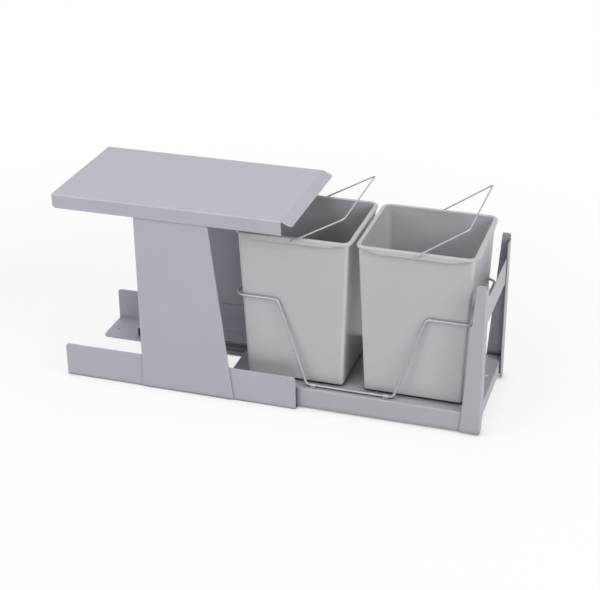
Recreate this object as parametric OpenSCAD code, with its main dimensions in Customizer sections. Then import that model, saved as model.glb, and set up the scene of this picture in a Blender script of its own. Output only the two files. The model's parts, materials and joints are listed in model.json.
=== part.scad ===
// Pull-out waste bin unit for the floor of a narrow base cabinet.
// Millimetres. X runs across the cabinet, Y from its door to its back, Z up.
// The origin is the middle of the four floor screw holes, level with the underside of the feet.
// The carriage is drawn partly pulled out, with both bails part raised.

/* [Base frame] */
// Width over the two base rails
base_w = 256; // [240:1:272]
// Length of the base rails, front to rear
rail_len = 480; // [470:1:520]
// Height of the flange that stands up along each base rail
rail_h = 70; // [60:1:80]
// Width of the foot of each base rail
foot_w = 88; // [80:1:92]
// Sheet thickness of rails, uprights and cover
frame_t = 2; // [1.5:0.1:2.5]
// Inside radius of the bends in the frame sheet
frame_bend = 1.5; // [1:0.1:3]
// Corner radius of the rail flanges
rail_corner = 7; // [2:1:14]
// Corner radius of the feet
foot_corner = 12; // [4:1:20]
// Diameter of the floor screw holes
floor_hole_d = 6.5; // [4:0.5:8]
// Distance of the floor screw holes from the ends of the rails
floor_hole_end = 22; // [14:1:24]
// Distance between the left and right floor screw holes
floor_hole_span = 148; // [146:1:180]

/* [Uprights and cover] */
// Distance from the rear end of the rails to the rear edge of the uprights
upright_set = 165; // [120:1:200]
// Width of each upright at its foot
upright_foot_w = 189; // [160:1:210]
// Width of each upright at its top
upright_top_w = 145; // [120:1:155]
// Gap from the cabinet floor to the uprights
upright_gap = 3; // [1:0.5:8]
// Distance from the front end of the rails back to the front fold of the cover
cover_set = 23; // [10:1:40]
// Depth of the side flanges of the cover
cover_flange = 28; // [20:1:34]
// Corner radius of the cover's rear corners
cover_corner = 8; // [3:1:12]
// How far the sloped front lip reaches forward of the fold
lip_reach = 21; // [10:1:30]
// How far the front lip drops from the fold
lip_drop = 9; // [4:0.5:12]
// Clear height between the bin rims and the underside of the cover
head_room = 41; // [41:1:60]

/* [Slides] */
// Length of the fixed slide member
slide_len = 404; // [395:1:410]
// Height of the slides
slide_h = 22; // [21:0.5:26]
// Thickness of a closed slide, from its fixed face to its moving face
slide_d = 12.7; // [12.5:0.1:14]
// Sheet thickness of the slide members
slide_t = 1.2; // [1:0.1:1.3]
// Distance from the front end of the rails to the front end of the slides
slide_set = 3; // [0:1:10]
// Gap between the slides and the foot below
slide_lift = 0.5; // [0.5:0.5:4]
// Width of foot left bare on the inner side of each slide
foot_margin = 13; // [6:1:16]
// Diameter of the balls
ball_d = 2.6; // [2.4:0.1:3]
// Balls in each row of a cage
ball_count = 7; // [3:1:10]
// Length of the ball cages
cage_len = 160; // [130:1:162]
// Thickness of the rubber stop behind the moving members
stop_t = 7; // [4:1:12]
// Distance of the outermost rivets from the ends of the slides
rivet_end = 44; // [42:1:80]
// Rivets along each slide member
rivet_count = 3; // [2:1:5]

/* [Carriage] */
// Travel of the carriage from home to fully out
travel = 450; // [430:1:460]
// How far the carriage is pulled out, as drawn
pulled = 335; // [0:1:430]
// How far the door face stands in front of the rails when the carriage is home
face_set = 21; // [10:1:30]
// Gap between each rail flange and the carriage
side_gap = 4.5; // [3:0.5:16]
// Length of the tray
tray_len = 494; // [470:1:495]
// Sheet thickness of tray, runners and tie plate
tray_t = 1.5; // [1:0.1:2]
// Gap between the slides and the underside of the tray
tray_gap = 19; // [14:0.5:20]
// Gap between the cabinet floor and the skirts of the tray
skirt_gap = 3; // [2.5:0.5:10]
// Inside radius of the bends in the tray
tray_bend = 2; // [1:0.5:4]
// Depth of the lip at the front of the tray
tray_front_lip = 27; // [15:1:32]
// Depth of the lip at the rear of the tray
tray_rear_lip = 12; // [8:1:30]
// Distance between the two holes near the front of the tray
tray_hole_span = 62; // [40:1:90]
// Distance of those holes from the front edge of the tray
tray_hole_set = 14; // [10:1:20]
// Diameter of the holes near the front of the tray
tray_hole_d = 7; // [4:0.5:10]

/* [Front arms] */
// Height of the front arms
arm_h = 307; // [240:1:320]
// Width of the web of an arm at its foot
arm_foot_w = 38; // [28:1:50]
// Width of the web of an arm at its top
arm_top_w = 17; // [12:1:24]
// Width of the flange that faces the door
arm_flange_w = 28; // [22:1:34]
// Sheet thickness of the arms
arm_t = 2; // [1.5:0.1:2.5]
// How far the flange stops short of the top of the arm
arm_relief = 12; // [6:1:20]
// Diameter of the door screw holes
door_hole_d = 6; // [4:0.5:7]
// Height of the lower door screw holes above the foot of the arm
door_hole_low = 66.5; // [50:0.5:90]
// Distance between the lower and upper door screw holes
door_hole_rise = 130; // [80:1:135]
// Height of the tie plate
tie_h = 50; // [30:1:60]
// Distance from the top of the arms down to the tie plate
tie_drop = 42; // [20:1:50]

/* [Bins] */
// Gap between the rims of the bins and the front arms
bin_side_gap = 13.5; // [5.5:0.1:16]
// Length of a bin over its rim
bin_len = 226; // [216:1:226]
// Height of a bin
bin_h = 305; // [280:1:320]
// Gap between the rims of the two bins
bin_gap = 7; // [7:0.5:12]
// Distance from the door face back to the front bin
bin_set = 22; // [14:1:26]
// Wall thickness of a bin
bin_wall = 2.4; // [1.8:0.1:3]
// Draft angle of a bin's side walls
bin_side_draft = 1.4; // [1:0.1:4]
// Draft angle of a bin's front and rear walls
bin_end_draft = 2.3; // [1:0.1:4]
// Corner radius of a bin's body
bin_body_corner = 7; // [4:0.5:16]
// Corner radius of the rim
bin_corner = 20; // [14:1:28]
// Radius round the bottom edge of a bin
bin_foot_r = 4; // [3:0.5:14]
// How far the rim overhangs the wall
rim_out = 5.5; // [4:0.1:7]
// Depth of the rim
rim_h = 11; // [9:0.5:14]
// Wall thickness of the rim
rim_t = 2; // [1.6:0.1:2.4]
// Depth of the rim round the corners
rim_lip = 4.5; // [3.5:0.5:9]
// Length over which the rim grows deeper from a corner
rim_taper = 18; // [8:1:30]

/* [Bails and cradle] */
// Diameter of the bail wire
bail_d = 3; // [2.4:0.1:3.2]
// Depth of the pivots below the top of the rim
pivot_drop = 5.5; // [4.5:0.1:6]
// Angle of the front bail below level when the carriage is home
front_bail_angle = 7.3; // [7:0.1:9]
// Angle of the rear bail below level when the carriage is home
rear_bail_angle = 11.8; // [11:0.1:13]
// Angle through which the bails rise over the whole travel of the carriage
bail_lift_angle = 55.5; // [50:0.1:56]
// Radius of the bends in the bails
bail_bend = 8; // [5:1:14]
// Diameter of the cradle wire
cradle_d = 5; // [4:0.1:6]
// Height of the cradle's upper runs above the tray
cradle_h = 173; // [120:1:220]
// Half the length of the cradle's lower runs
cradle_low_half = 85; // [60:1:95]
// Half the distance between the ends of the upper runs
cradle_high_half = 143.5; // [120:0.5:160]
// How far the side bends of the cradle stand behind the middle of the bins
cradle_shift = 3; // [0:0.5:8]
// How far the cradle's lower runs stand in from the outside of the skirts
cradle_in = 12.2; // [8:0.1:14]
// Gap between the bins and the cradle's front and rear bars
cradle_end_gap = 8.5; // [4:0.5:12]
// Radius of the bends in the cradle
cradle_bend = 10; // [6:1:14]
// Half the distance between the front and rear cradle clips
clip_half = 71.5; // [40:0.5:75]
// Length of a cradle clip along its wire
clip_len = 12; // [8:1:20]

/* [Hidden] */
$fn = 48;

// Running clearances and small fits
ball_bite = 0.2;        // depth to which a ball sits in its track
ball_play = 0.12;       // free play round a ball in its track
cage_play = 0.15;       // free play round a cage and round a ball in it
cage_t = 0.5;           // sheet of the ball cages
rivet_play = 0.05;      // free play round a rivet in its hole
pivot_play = 0.1;       // free play round a bail's end in its hole
bail_side_gap = 1.2;    // gap between a rim and the bail beside it
bail_hook_in = 1;       // inside radius of the hooked ends of a bail
bail_end_past = 1.5;    // how far a bail's ends stand into the bin
wire_gap = 1;           // gap between the cradle's upper runs and the bins
clip_play = 0.1;        // gap between a clip and its wire
eps = 0.01;             // thickness of the discs that a hull spans
sleeve = 0.4;           // length of the sleeve over a joint in a wire
sleeve_t = 0.02;        // thickness of that sleeve

// Frame
half_w = base_w / 2;
rail_front = -rail_len / 2;
rail_rear = rail_len / 2;
foot_in = half_w - foot_w;
hole_y = rail_len / 2 - floor_hole_end;

// Slides, with u measured from the fixed face of a slide towards its moving face
slide_face = foot_in + foot_margin;
slide_back = slide_face + slide_d;
slide_front = rail_front + slide_set;
slide_z = frame_t + slide_lift + slide_h / 2;
member_len = slide_len - stop_t - 1;
ball_r = ball_d / 2;
track_r = ball_r + ball_play;
outer_v = slide_h / 2 - slide_t + ball_bite - ball_r;   // height of the outer ball rows
middle_half = outer_v - ball_r + ball_bite;
inner_v = middle_half - slide_t + ball_bite - ball_r;   // height of the inner ball rows
inner_half = inner_v - ball_r + ball_bite;
web_gap = cage_t + 2 * cage_play;
middle_u = slide_t + web_gap;
inner_u = middle_u + slide_t + web_gap;
ball_u = (middle_u + slide_t + slide_d - slide_t) / 2 - 0.9;
outer_lip_u = slide_d - slide_t - 1.4;
middle_lip_u = slide_d - slide_t - 1;
cage_u = outer_lip_u - 0.8;
ball_step = cage_len / (ball_count + 0.5);
middle_front = slide_front - pulled / 2;
inner_front = slide_front - pulled;
cage_home = slide_front + member_len / 2 - cage_len / 2;
outer_cage_front = cage_home - pulled / 4;
inner_cage_front = cage_home - pulled * 3 / 4;
bracket_t = 1.5;
bracket_leg = 14;
bracket_end = 36;
rivet_r = 2;
rivet_head_r = 3.6;
rivet_head_t = 1.2;

// Carriage
face_y = rail_front - face_set - pulled;
arm_x = half_w - frame_t - side_gap;
skirt_x = arm_x - arm_t;
tray_top = frame_t + slide_lift + slide_h + tray_gap + tray_t;
tray_under = tray_top - tray_t;
tray_front = face_y + arm_t + tray_t + 0.5;
tray_rear = tray_front + tray_len;
runner_flange = 16;
arm_foot_z = skirt_gap;
arm_top_z = arm_foot_z + arm_h;
arm_flange_in = arm_x - arm_flange_w;
arm_chamfer_w = 9;
arm_chamfer_h = 28;
arm_corner = 4;
door_hole_x = arm_x - arm_flange_w / 2;
tie_top = arm_top_z - tie_drop;

// Bins
bin_w = 2 * (skirt_x - bin_side_gap);
rim_z = tray_top + bin_h;
front_bin_y = face_y + bin_set + bin_len / 2;
rear_bin_y = front_bin_y + bin_len + bin_gap;
bins_mid_y = (front_bin_y + rear_bin_y) / 2;
pivot_h = bin_h - pivot_drop;
boss_r = 4.6;
recess_h = 1.2;
recess_set = 14;
bail_r = bail_d / 2;
bail_reach = bin_len / 2 + bin_gap / 2 + 0.5;
bail_x = bin_w / 2 + bail_side_gap + bail_r;
bail_end = bin_w / 2 - rim_out - bin_wall - bail_end_past;
bail_hook = bail_r + bail_hook_in;
bail_rate = bail_lift_angle / travel;
pivot_hole_r = bail_r + pivot_play;

// Cradle
cradle_r = cradle_d / 2;
cradle_z = tray_top + cradle_h;
cradle_low_z = tray_top + cradle_r;
cradle_low_x = skirt_x - cradle_in;
cradle_x = body_half(bin_w, cradle_h, bin_side_draft) + wire_gap + cradle_r;
cradle_end = body_half(bin_len, cradle_h, bin_end_draft) + cradle_end_gap + cradle_r;
cradle_mid_y = bins_mid_y + cradle_shift;
cradle_front = front_bin_y - cradle_end;
cradle_rear = rear_bin_y + cradle_end;
cradle_corner = bin_corner - rim_out + cradle_r;
clip_t = 1.2;
clip_foot = 5.5;

// Cover
upright_foot_y = rail_rear - upright_set;
cover_under = rim_z + head_room;
cover_top = cover_under + frame_t;
cover_x = half_w + 2 * frame_t;
cover_front = rail_front + cover_set;

// Half the outside size of a bin's body at a height above its foot, for a rim of the given size
function body_half(size, h, draft) = size / 2 - rim_out - (bin_h - h) * tan(draft);

function unit(v) = v / norm(v);
function turn(a, b) = acos(max(-1, min(1, unit(a) * unit(b))));

// Points of an outline whose corners are rounded, each corner given as [x, y, radius]
function rounded(corners, steps = 8) = [
    for (i = [0 : len(corners) - 1])
        let (
            n = len(corners),
            here = corners[i],
            p = [here[0], here[1]],
            a = unit([corners[(i + n - 1) % n][0], corners[(i + n - 1) % n][1]] - p),
            b = unit([corners[(i + 1) % n][0], corners[(i + 1) % n][1]] - p),
            half = turn(a, b) / 2,
            r = here[2],
            centre = p + unit(a + b) * r / sin(half),
            start = p + a * r / tan(half) - centre,
            side = sign(cross(a, b)),
            sweep = -side * (180 - 2 * half)
        )
            each r == 0 ? [p] : [
                for (k = [0 : steps])
                    let (t = sweep * k / steps)
                        centre + [start[0] * cos(t) - start[1] * sin(t),
                                  start[0] * sin(t) + start[1] * cos(t)]
            ]
];

// An outline in X and Z, drawn out along Y
module along_y(y0, y1) {
    translate([0, y1, 0]) rotate([90, 0, 0]) linear_extrude(y1 - y0) children();
}

// An outline in Y and Z, drawn out along X
module along_x(x0, x1) {
    translate([x0, 0, 0]) rotate([90, 0, 90]) linear_extrude(x1 - x0) children();
}

// The left-hand copy of a right-hand piece
module left() {
    mirror([1, 0, 0]) children();
}

// A corner to cut from a sheet, with the sheet on the positive side of both axes
module corner_cut(r) {
    difference() {
        translate([-1, -1]) square(r + 1);
        translate([r, r]) circle(r);
    }
}

// Section of a bent angle, with its outside corner at the origin
module angle_section(a, b, t, r) {
    difference() {
        square([a, b]);
        translate([t, t]) square([a, b]);
        corner_cut(r + t);
    }
    translate([t, t]) difference() {
        square(r);
        translate([r, r]) circle(r);
    }
}

// Upper outline of a folded channel, open below
module hood_outline(half, top, bottom, r) {
    translate([-half, bottom]) square([2 * half, top - r - bottom]);
    translate([r - half, bottom]) square([2 * (half - r), top - bottom]);
    for (side = [-1, 1]) translate([side * (half - r), top - r]) circle(r);
}

// Section of a folded channel, open below
module hood_section(half, top, bottom, t, r) {
    difference() {
        hood_outline(half, top, bottom, r + t);
        hood_outline(half - t, top - t, bottom - 1, r);
    }
}

module rounded_rect(x, y, r) {
    square([x - 2 * r, y], center = true);
    square([x, y - 2 * r], center = true);
    for (i = [-1, 1], j = [-1, 1]) translate([i * (x / 2 - r), j * (y / 2 - r)]) circle(r);
}

// A straight run of round wire
module rod(a, b, r) {
    z = unit(b - a);
    x = unit(cross(abs(z[2]) < 0.9 ? [0, 0, 1] : [0, 1, 0], z));
    y = cross(z, x);
    multmatrix([[x[0], y[0], z[0], a[0]], [x[1], y[1], z[1], a[1]], [x[2], y[2], z[2], a[2]]])
        cylinder(h = norm(b - a), r = r);
}

// A bend in round wire at the corner p of the path a, p, b
module wire_bend(a, p, b, bend, r) {
    d = unit(p - a);
    n = unit(cross(d, b - p));
    angle = turn(d, b - p);
    start = p - d * bend * tan(angle / 2);
    e = cross(d, n);
    c = start - e * bend;
    multmatrix([[e[0], d[0], n[0], c[0]], [e[1], d[1], n[1], c[1]], [e[2], d[2], n[2], c[2]]])
        rotate_extrude(angle = angle) translate([bend, 0]) circle(r);
}

// Wire along a path of [point, bend radius], closed into a loop if asked. Runs and bends are
// placed to rounded positions, so a sleeve thinner than paint joins them.
module wire(path, r, closed = false) {
    n = len(path);
    last = closed ? n - 1 : n - 2;
    for (i = [0 : last]) {
        p = path[i][0];
        q = path[(i + 1) % n][0];
        d = unit(q - p);
        after_bend = closed || i > 0;
        before_bend = closed || i < last;
        a = after_bend ? p + d * path[i][1] * tan(turn(p - path[(i + n - 1) % n][0], d) / 2) : p;
        b = before_bend ? q - d * path[(i + 1) % n][1] * tan(turn(d, path[(i + 2) % n][0] - q) / 2) : q;
        rod(after_bend ? a + d * sleeve / 4 : a, before_bend ? b - d * sleeve / 4 : b, r);
        if (after_bend) rod(a - d * sleeve / 4, a + d * sleeve * 3 / 4, r + sleeve_t);
        if (before_bend) rod(b - d * sleeve * 3 / 4, b + d * sleeve / 4, r + sleeve_t);
    }
    for (i = [closed ? 0 : 1 : closed ? n - 1 : n - 2])
        wire_bend(path[(i + n - 1) % n][0], path[i][0], path[(i + 1) % n][0], path[i][1], r);
}

// Fixed frame

module base_rail() {
    color("gainsboro") difference() {
        along_y(rail_front, rail_rear) translate([half_w, 0]) mirror([1, 0])
            angle_section(foot_w, rail_h, frame_t, frame_bend);
        for (end = [-1, 1]) {
            along_x(half_w - frame_t - 1, half_w + 1)
                translate([end * rail_rear, rail_h]) mirror([(end + 1) / 2, 0]) mirror([0, 1])
                    corner_cut(rail_corner);
            translate([foot_in, end * rail_rear, -1]) linear_extrude(frame_t + 2)
                mirror([0, (end + 1) / 2]) corner_cut(foot_corner);
            translate([floor_hole_span / 2, end * hole_y, -1])
                cylinder(h = frame_t + 2, d = floor_hole_d);
        }
    }
}

module upright() {
    top_y = upright_foot_y - upright_top_w;
    top_z = cover_under - frame_bend;
    color("gainsboro") along_x(half_w, half_w + frame_t) polygon([
        [upright_foot_y, upright_gap],
        [upright_foot_y, top_z],
        [top_y, top_z],
        [upright_foot_y - upright_foot_w, upright_gap]
    ]);
}

module cover_plate() {
    slope = atan2(lip_drop, lip_reach);
    flange_z = cover_top - cover_flange;
    color("lightgrey") {
        difference() {
            along_y(cover_front, rail_rear)
                hood_section(cover_x, cover_top, flange_z, frame_t, frame_bend);
            along_x(-cover_x - 1, cover_x + 1)
                translate([rail_rear, flange_z]) mirror([1, 0]) corner_cut(cover_corner);
        }
        translate([0, cover_front, cover_top]) rotate([slope, 0, 0])
            translate([0, 0, -frame_t]) linear_extrude(frame_t)
                polygon(rounded([
                    [-cover_x + frame_bend, 0.4, 0],
                    [-cover_x + frame_bend, -norm([lip_reach, lip_drop]), 7],
                    [cover_x - frame_bend, -norm([lip_reach, lip_drop]), 7],
                    [cover_x - frame_bend, 0.4, 0]
                ]));
    }
}

// Telescopic slides

// Places a section given in u and height onto the right-hand slide
module slide_section(y0, y1) {
    along_y(y0, y1) translate([slide_back, slide_z]) mirror([1, 0]) children();
}

// Distances along a slide member at which it is riveted
function rivet_places(front) = [
    for (i = [0 : rivet_count - 1])
        front + rivet_end + (member_len - 2 * rivet_end) * i / (rivet_count - 1)
];

module tracks(v) {
    for (side = [-1, 1]) translate([ball_u, side * v]) circle(track_r);
}

module rivet_holes(front, x0, x1) {
    for (y = rivet_places(front)) translate([x0, y, slide_z]) rotate([0, 90, 0])
        cylinder(h = x1 - x0, r = rivet_r);
}

module slide_bracket() {
    color("silver") difference() {
        along_y(slide_front + bracket_end, slide_front + slide_len - bracket_end)
            translate([slide_back, frame_t])
                angle_section(bracket_leg, slide_lift + slide_h - 2, bracket_t, 1);
        rivet_holes(slide_front, slide_back - 1, slide_back + bracket_t + 1);
    }
}

module slide_outer() {
    color("dimgray") difference() {
        slide_section(slide_front, slide_front + slide_len) difference() {
            translate([0, -slide_h / 2]) square([outer_lip_u, slide_h]);
            translate([slide_t, slide_t - slide_h / 2])
                square([outer_lip_u, slide_h - 2 * slide_t]);
            tracks(outer_v);
        }
        rivet_holes(slide_front, slide_back - slide_t - 1, slide_back + 1);
    }
}

module slide_middle() {
    color("dimgray") slide_section(middle_front, middle_front + member_len) difference() {
        translate([middle_u, -middle_half])
            square([middle_lip_u - middle_u, 2 * middle_half]);
        translate([middle_u + slide_t, slide_t - middle_half])
            square([middle_lip_u, 2 * (middle_half - slide_t)]);
        tracks(outer_v);
        tracks(inner_v);
    }
}

module slide_inner() {
    color("dimgray") difference() {
        slide_section(inner_front, inner_front + member_len) difference() {
            translate([inner_u, -inner_half]) square([slide_d - inner_u, 2 * inner_half]);
            translate([inner_u - 1, slide_t - inner_half])
                square([slide_d - slide_t - inner_u + 1, 2 * (inner_half - slide_t)]);
            tracks(inner_v);
        }
        rivet_holes(inner_front, slide_face - 1, slide_face + slide_t + 1);
    }
}

// A cage is a thin channel that holds one row of balls above and one below
module ball_cage(front, u, v) {
    color("darkkhaki") difference() {
        slide_section(front, front + cage_len) difference() {
            translate([u, -v - cage_t / 2]) square([cage_u - u, 2 * v + cage_t]);
            translate([u + cage_t, cage_t / 2 - v]) square([cage_u, 2 * v - cage_t]);
        }
        for (i = [1 : ball_count])
            translate([slide_back - ball_u, front + i * ball_step - ball_step / 4, slide_z])
                cylinder(h = 2 * v + 4, r = ball_r + cage_play, center = true);
    }
}

module balls(front, v) {
    color("white") for (i = [1 : ball_count], side = [-1, 1])
        translate([slide_back - ball_u, front + i * ball_step - ball_step / 4, slide_z + side * v])
            sphere(ball_r);
}

module slide_stop() {
    height = slide_h - 2 * slide_t;
    color("black") slide_section(slide_front + slide_len - stop_t, slide_front + slide_len)
        translate([slide_t, -height / 2]) square([outer_lip_u - slide_t - 1, height]);
}

// A rivet with its flush end at x0 and its head past x1
module rivet(x0, x1) {
    color("silver") {
        translate([x0, 0, 0]) rotate([0, 90, 0]) cylinder(h = x1 - x0, r = rivet_r - rivet_play);
        translate([x1, 0, 0]) rotate([0, 90, 0])
            cylinder(h = rivet_head_t, r1 = rivet_head_r, r2 = rivet_head_r - 0.8);
    }
}

module right_slide_rivets() {
    for (y = rivet_places(slide_front)) translate([0, y, slide_z])
        rivet(slide_back - slide_t, slide_back + bracket_t);
}

// Carriage

module runner() {
    web_low = slide_z - inner_half - 3;
    color("silver") difference() {
        along_y(inner_front, inner_front + member_len)
            translate([slide_face, tray_under]) mirror([1, 0]) mirror([0, 1])
                angle_section(runner_flange, tray_under - web_low, tray_t, 1);
        rivet_holes(inner_front, slide_face - tray_t - 1, slide_face + 1);
    }
}

module right_runner_rivets() {
    for (y = rivet_places(inner_front)) translate([slide_face, y, slide_z]) mirror([1, 0, 0])
        rivet(-slide_t, tray_t);
}

module carriage_tray() {
    lip_half = arm_flange_in - 2;
    color("gainsboro") {
        difference() {
            along_y(tray_front, tray_rear)
                hood_section(skirt_x, tray_top, skirt_gap, tray_t, tray_bend);
            for (side = [-1, 1])
                translate([side * tray_hole_span / 2, tray_front + tray_hole_set, tray_under - 1])
                    cylinder(h = tray_t + 2, d = tray_hole_d);
        }
        along_y(tray_front, tray_front + tray_t) polygon(rounded([
            [-lip_half, tray_top - 0.5, 0], [-lip_half, tray_top - tray_front_lip, 6],
            [lip_half, tray_top - tray_front_lip, 6], [lip_half, tray_top - 0.5, 0]
        ]));
        along_y(tray_rear - tray_t, tray_rear) polygon(rounded([
            [-lip_half, tray_top - 0.5, 0], [-lip_half, tray_top - tray_rear_lip, 3],
            [lip_half, tray_top - tray_rear_lip, 3], [lip_half, tray_top - 0.5, 0]
        ]));
    }
}

module front_arm() {
    flange_top = arm_top_z - arm_relief;
    color("gainsboro") difference() {
        intersection() {
            translate([arm_x, face_y, arm_foot_z]) linear_extrude(arm_h) mirror([1, 0])
                angle_section(arm_flange_w, arm_foot_w, arm_t, 1);
            along_x(arm_flange_in - 1, arm_x + 1) polygon(rounded([
                [face_y - 0.01, arm_foot_z, 0],
                [face_y + arm_foot_w, arm_foot_z, 0],
                [face_y + arm_top_w, arm_top_z, arm_corner],
                [face_y - 0.01, arm_top_z, arm_corner]
            ]));
            along_y(face_y - 1, face_y + arm_foot_w + 1) union() {
                translate([arm_x - arm_t, arm_foot_z]) square([arm_t, arm_h]);
                polygon(rounded([
                    [arm_flange_in, flange_top, arm_corner],
                    [arm_flange_in, arm_foot_z + arm_chamfer_h, 2],
                    [arm_flange_in + arm_chamfer_w, arm_foot_z, 2],
                    [arm_x - arm_t / 2, arm_foot_z, 0],
                    [arm_x - arm_t / 2, flange_top, 0]
                ]));
            }
        }
        for (rise = [0, door_hole_rise])
            translate([door_hole_x, face_y - 1, arm_foot_z + door_hole_low + rise])
                rotate([-90, 0, 0]) cylinder(h = arm_t + 2, d = door_hole_d);
    }
}

module front_tie_plate() {
    half = skirt_x - 1.5;
    color("gainsboro") along_y(face_y + arm_t, face_y + arm_t + tray_t)
        translate([-half, tie_top - tie_h]) square([2 * half, tie_h]);
}

module wire_cradle() {
    side = [
        [[cradle_x, cradle_front, cradle_z], cradle_corner],
        [[cradle_x, cradle_mid_y - cradle_high_half, cradle_z], cradle_bend],
        [[cradle_low_x, cradle_mid_y - cradle_low_half, cradle_low_z], cradle_bend],
        [[cradle_low_x, cradle_mid_y + cradle_low_half, cradle_low_z], cradle_bend],
        [[cradle_x, cradle_mid_y + cradle_high_half, cradle_z], cradle_bend],
        [[cradle_x, cradle_rear, cradle_z], cradle_corner]
    ];
    other = [
        for (i = [len(side) - 1 : -1 : 0])
            let (p = side[i][0]) [[-p[0], p[1], p[2]], side[i][1]]
    ];
    color("silver") wire(concat(side, other), cradle_r, closed = true);
}

// A clip is a strap over the wire with one foot on the tray
module cradle_clip() {
    hole = cradle_r + clip_play;
    outer = hole + clip_t;
    color("silver") along_y(-clip_len / 2, clip_len / 2) difference() {
        union() {
            circle(outer);
            translate([0, -cradle_r]) square([hole + clip_foot, clip_t]);
            translate([-outer, -cradle_r]) square([2 * outer, cradle_r]);
        }
        circle(hole);
        translate([-hole, -cradle_r - 2]) square([2 * hole, cradle_r + 2]);
        translate([-outer, -cradle_r - outer]) square([2 * outer, outer]);
    }
}

// Bins

// Discs at the four corners of a tapered bin, at height h, set in from its outside by inset
module bin_level(h, inset) {
    x = body_half(bin_w, h, bin_side_draft) - inset;
    y = body_half(bin_len, h, bin_end_draft) - inset;
    r = max(2, bin_body_corner - inset);
    for (i = [-1, 1], j = [-1, 1])
        translate([i * (x - r), j * (y - r), h]) cylinder(h = eps, r = r, $fn = 32);
}

// The solid inside the outer face of a bin, or inside its inner face
module bin_block(wall, foot, top) {
    r = bin_foot_r - wall;
    hull() {
        for (a = [0 : 30 : 90])
            bin_level(foot + r * (1 - cos(a)), wall + r * (1 - sin(a)));
        bin_level(top - eps, wall);
    }
}

// Section of the rolled rim, measured outwards and up from the middle of its top's inner edge
module rim_section(depth) {
    reach = rim_out + bin_wall / 2;
    polygon(rounded([
        [0, -rim_t, 0], [0, 0, 0], [reach, 0, 2.5], [reach, -depth, 0.6],
        [reach - rim_t, -depth, 0.6], [reach - rim_t, -rim_t, 0.6]
    ], 6));
}

// A straight run of the rim along Y, less deep towards its ends
module rim_run(length) {
    low = -rim_h - 0.1;
    intersection() {
        along_y(-length / 2, length / 2) rim_section(rim_h);
        along_x(-1, rim_out + bin_wall) polygon([
            [-length / 2 - 1, 1], [-length / 2 - 1, -rim_lip], [-length / 2, -rim_lip],
            [rim_taper - length / 2, low], [length / 2 - rim_taper, low],
            [length / 2, -rim_lip], [length / 2 + 1, -rim_lip], [length / 2 + 1, 1]
        ]);
    }
}

module bin_rim() {
    reach = rim_out + bin_wall / 2;
    straight_x = bin_w - 2 * bin_corner;
    straight_y = bin_len - 2 * bin_corner;
    for (side = [0, 1]) {
        rotate([0, 0, side * 180]) translate([bin_w / 2 - reach, 0, bin_h]) rim_run(straight_y);
        rotate([0, 0, 90 + side * 180]) translate([bin_len / 2 - reach, 0, bin_h]) rim_run(straight_x);
    }
    for (quarter = [0 : 3])
        let (
            i = quarter == 0 || quarter == 3 ? 1 : -1,
            j = quarter < 2 ? 1 : -1
        )
            translate([i * straight_x / 2, j * straight_y / 2, bin_h]) rotate([0, 0, 90 * quarter])
                rotate_extrude(angle = 90) translate([bin_corner - reach, 0]) rim_section(rim_lip);
}

module bin() {
    wall_x = bin_w / 2 - rim_out;
    color("gainsboro") translate([0, 0, tray_top]) difference() {
        union() {
            bin_block(0, 0, bin_h);
            bin_rim();
            for (side = [-1, 1]) translate([side * (wall_x - 0.5), 0, pivot_h]) rotate([0, side * 90, 0])
                cylinder(h = rim_out - rim_t / 2, r = boss_r);
        }
        bin_block(bin_wall, bin_wall + recess_h, bin_h + 1);
        translate([0, 0, pivot_h]) rotate([0, 90, 0])
            cylinder(h = bin_w + 2, r = pivot_hole_r, center = true);
        translate([0, 0, -1]) linear_extrude(recess_h + 1) rounded_rect(
            2 * (body_half(bin_w, 0, bin_side_draft) - recess_set),
            2 * (body_half(bin_len, 0, bin_end_draft) - recess_set), 10);
    }
}

// A bail lies along -Y from its pivot at the origin and is turned up by its raise
module bail(raise) {
    color("silver") rotate([-raise, 0, 0]) wire([
        [[bail_end, 0, 0], 0],
        [[bail_x, 0, 0], bail_hook],
        [[bail_x, -bail_reach, 0], bail_bend],
        [[-bail_x, -bail_reach, 0], bail_bend],
        [[-bail_x, 0, 0], bail_hook],
        [[-bail_end, 0, 0], 0]
    ], bail_r);
}

// Named pieces

module left_base_rail() left() base_rail();
module right_base_rail() base_rail();
module left_upright() left() upright();
module right_upright() upright();
module left_slide_bracket() left() slide_bracket();
module right_slide_bracket() slide_bracket();
module left_slide_outer() left() slide_outer();
module right_slide_outer() slide_outer();
module slide_rivets() {
    right_slide_rivets();
    left() right_slide_rivets();
}
module slide_stops() {
    slide_stop();
    left() slide_stop();
}
module right_outer_cage() ball_cage(outer_cage_front, slide_t + cage_play, outer_v);
module left_outer_cage() left() right_outer_cage();
module right_outer_balls() balls(outer_cage_front, outer_v);
module left_outer_balls() left() right_outer_balls();
module left_slide_middle() left() slide_middle();
module right_slide_middle() slide_middle();
module right_inner_cage() ball_cage(inner_cage_front, middle_u + slide_t + cage_play, inner_v);
module left_inner_cage() left() right_inner_cage();
module right_inner_balls() balls(inner_cage_front, inner_v);
module left_inner_balls() left() right_inner_balls();
module left_slide_inner() left() slide_inner();
module right_slide_inner() slide_inner();
module left_runner() left() runner();
module right_runner() runner();
module runner_rivets() {
    right_runner_rivets();
    left() right_runner_rivets();
}
module left_front_arm() left() front_arm();
module right_front_arm() front_arm();
module cradle_clips() {
    for (side = [0, 1], end = [-1, 1]) mirror([side, 0, 0])
        translate([cradle_low_x, cradle_mid_y + end * clip_half, cradle_low_z]) cradle_clip();
}
module front_bin() translate([0, front_bin_y, 0]) bin();
module rear_bin() translate([0, rear_bin_y, 0]) bin();
module front_bail() translate([0, front_bin_y, tray_top + pivot_h])
    bail(pulled * bail_rate - front_bail_angle);
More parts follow.
